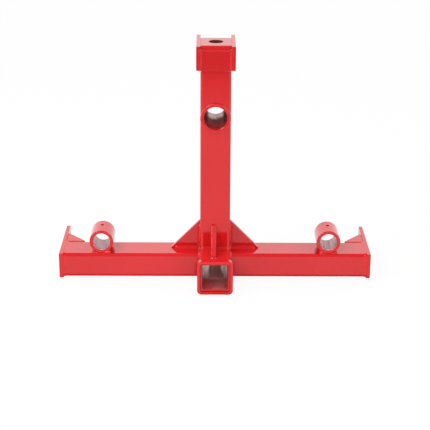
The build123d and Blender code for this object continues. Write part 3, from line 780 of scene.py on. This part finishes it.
studio = {
    "floorSize": 12.0,
    "floorColour": (0.9, 0.9, 0.9, 1),
    "floorGlow": 0.91,  # share of plain white that the camera sees on the floor
    "floorMirrored": 0.9,  # the same, seen in the paint
    "floorNear": 0.66,  # brightness of the mirrored floor round the object
    "floorFar": 0.05,  # and far in front of it
    "floorEnds": (0.9, 2.0),
    "floorBehind": (0.12, 0.30),  # where it gets whiter behind the object
    "shadeTone": 0.12,  # painted shadow: the floor right under the object is darker where it is mirrored in the object's lower edges
    "tubeShade": (-0.066, -0.054),
    "tubeShadeEnds": (0.030, 0.045),
    "collarShade": (-0.135, -0.120),
    "collarSides": (0.038, 0.046),
    "horizon": 1.0,
    "ceiling": 0.12,  # dim room overhead and in front, which keeps the rounded edges deep red
    "ceilingStarts": (0.45, 0.85),
    "frontStarts": (0.0, 0.30),
    "frontFacing": (0.1, 0.6),
    "fillSide": 0.66,
    "fillTop": 1.02,  # soft light from above
    "fillRises": (0.0, 0.9),
    "keyPower": 50.0,
    "keyPlace": (-3.0, -3.8, 4.4),
    "keySize": 1.4,
    "sidePower": 17.0,
    "sidePlace": (3.8, -2.4, 3.4),
    "sideSize": 1.2,
    "topPower": 4.5,  # small soft lamp above the left half
    "topPlace": (-0.9, -0.3, 1.2),
    "topSize": 0.5,
    "lowPower": (0.20, 0.34),  # two low lamps in front, left and right, held to the foot of the object
    "lowSpread": 38,  # degrees
    "lowPlace": (0.9, -1.3, 0.55),
    "lowTarget": (0.1, 0, 0.06),
    "lowSize": 1.3,
}


def rays(sheet, *names):
    kinds = [sheet.add("ShaderNodeLightPath", result=name) for name in names]
    seen = kinds[0]
    for kind in kinds[1:]:
        seen = seen.most(kind)
    return seen


bm = bmesh.new()
bmesh.ops.create_grid(bm, x_segments=4, y_segments=4, size=studio["floorSize"] / 2)
floorMesh = bpy.data.meshes.new("studioFloor")
bm.to_mesh(floorMesh)
bm.free()
floor = bpy.data.objects.new("studioFloor", floorMesh)
bpy.context.scene.collection.objects.link(floor)
material, sheet = newSheet("paleFloor")
across, along = sheet.axes(sheet.place())[:2]
ahead = (0 - along).step(*studio["floorEnds"])
behind = along.step(*studio["floorBehind"])
# painted shadow on the floor under the half tubes and the collar, seen only by glossy rays
beforeBack = 1 - along.step(*studio["tubeShadeEnds"])
underTube = along.step(*studio["tubeShade"]) * beforeBack
underCollar = along.step(*studio["collarShade"]) * beforeBack
below = underTube.most(underCollar * (1 - across.size().step(*studio["collarSides"])))
near, far = studio["floorNear"], studio["floorFar"]
tone = near + (1 - near) * behind - (near - far) * ahead
straightOn = rays(sheet, "Is Camera Ray", "Is Transmission Ray")
mirrored = rays(sheet, "Is Glossy Ray")
tone = straightOn.most(tone * (1 - below * (1 - studio["shadeTone"])))
lit = sheet.add("ShaderNodeBsdfDiffuse", inputs={"Color": studio["floorColour"]})
glow = sheet.add("ShaderNodeEmission", inputs={"Color": (1, 1, 1, 1), "Strength": tone})
share = straightOn * studio["floorGlow"] + mirrored * studio["floorMirrored"]
sheet.finish(sheet.add("ShaderNodeMixShader", inputs={0: share, 1: lit, 2: glow}))
floorMesh.materials.append(material)

world = bpy.data.worlds.new("studioWorld")
bpy.context.scene.world = world
sheet = Sheet(world)
along, up = sheet.axes(sheet.add("ShaderNodeTexCoord", result=0))[1:]  # the direction of the ray
infront = (0 - along).step(*studio["frontFacing"]) * up.step(*studio["frontStarts"])
overhead = up.step(*studio["ceilingStarts"])
dome = studio["horizon"] - (studio["horizon"] - studio["ceiling"]) * overhead.most(infront)
fill = studio["fillSide"] + (studio["fillTop"] - studio["fillSide"]) * up.step(*studio["fillRises"])
seen = rays(sheet, "Is Camera Ray", "Is Transmission Ray")
mirrored = rays(sheet, "Is Glossy Ray")
strength = seen + mirrored * dome + (1 - seen.most(mirrored)) * fill
sheet.add("ShaderNodeOutputWorld", inputs={
    "Surface": sheet.add("ShaderNodeBackground", inputs={"Color": (1, 1, 1, 1), "Strength": strength}),
})


def softbox(name, place, power, size, target=(0, 0, 0.2), spread=180):
    lamp = bpy.data.lights.new(name, "AREA")
    lamp.shape = "SQUARE"
    lamp.size = size
    lamp.energy = power
    lamp.spread = math.radians(spread)
    box = bpy.data.objects.new(name, lamp)
    box.location = place
    box.rotation_euler = (Vector(target) - Vector(place)).to_track_quat("-Z", "Y").to_euler()
    bpy.context.scene.collection.objects.link(box)


for lampName in ("key", "side", "top"):
    place, power, size = (studio[lampName + part] for part in ("Place", "Power", "Size"))
    softbox(lampName + "Lamp", place, power, size)
for (hand, side), power in zip(hands, studio["lowPower"]):
    place, target = (Vector(studio[part]) * Vector((side, 1, 1)) for part in ("lowPlace", "lowTarget"))
    softbox("lowLamp" + hand, place, power, studio["lowSize"], target, studio["lowSpread"])

view = {
    "place": (-0.01363, -2.3686, 1.0250),
    "down": 20.796,  # degrees
    "aside": 0.327,
    "roll": 0.312,
    "lens": 104.61,
    "sensor": 36,
}
down, aside, roll = (math.radians(view[k]) for k in ("down", "aside", "roll"))
forward = Vector((math.sin(aside) * math.cos(down), math.cos(aside) * math.cos(down), -math.sin(down)))
level = Vector((math.cos(aside), -math.sin(aside), 0))
upward = level.cross(forward)
right = level * math.cos(roll) + upward * math.sin(roll)
upward = upward * math.cos(roll) - level * math.sin(roll)
lensData = bpy.data.cameras.new("photoCamera")
lensData.lens = view["lens"]
lensData.sensor_width = view["sensor"]
camera = bpy.data.objects.new("photoCamera", lensData)
turned = Matrix((right, upward, -forward)).transposed().to_4x4()
camera.matrix_world = Matrix.Translation(view["place"]) @ turned
bpy.context.scene.collection.objects.link(camera)
bpy.context.scene.camera = camera
bpy.context.scene.view_settings.view_transform = "Standard"
print("studio set")
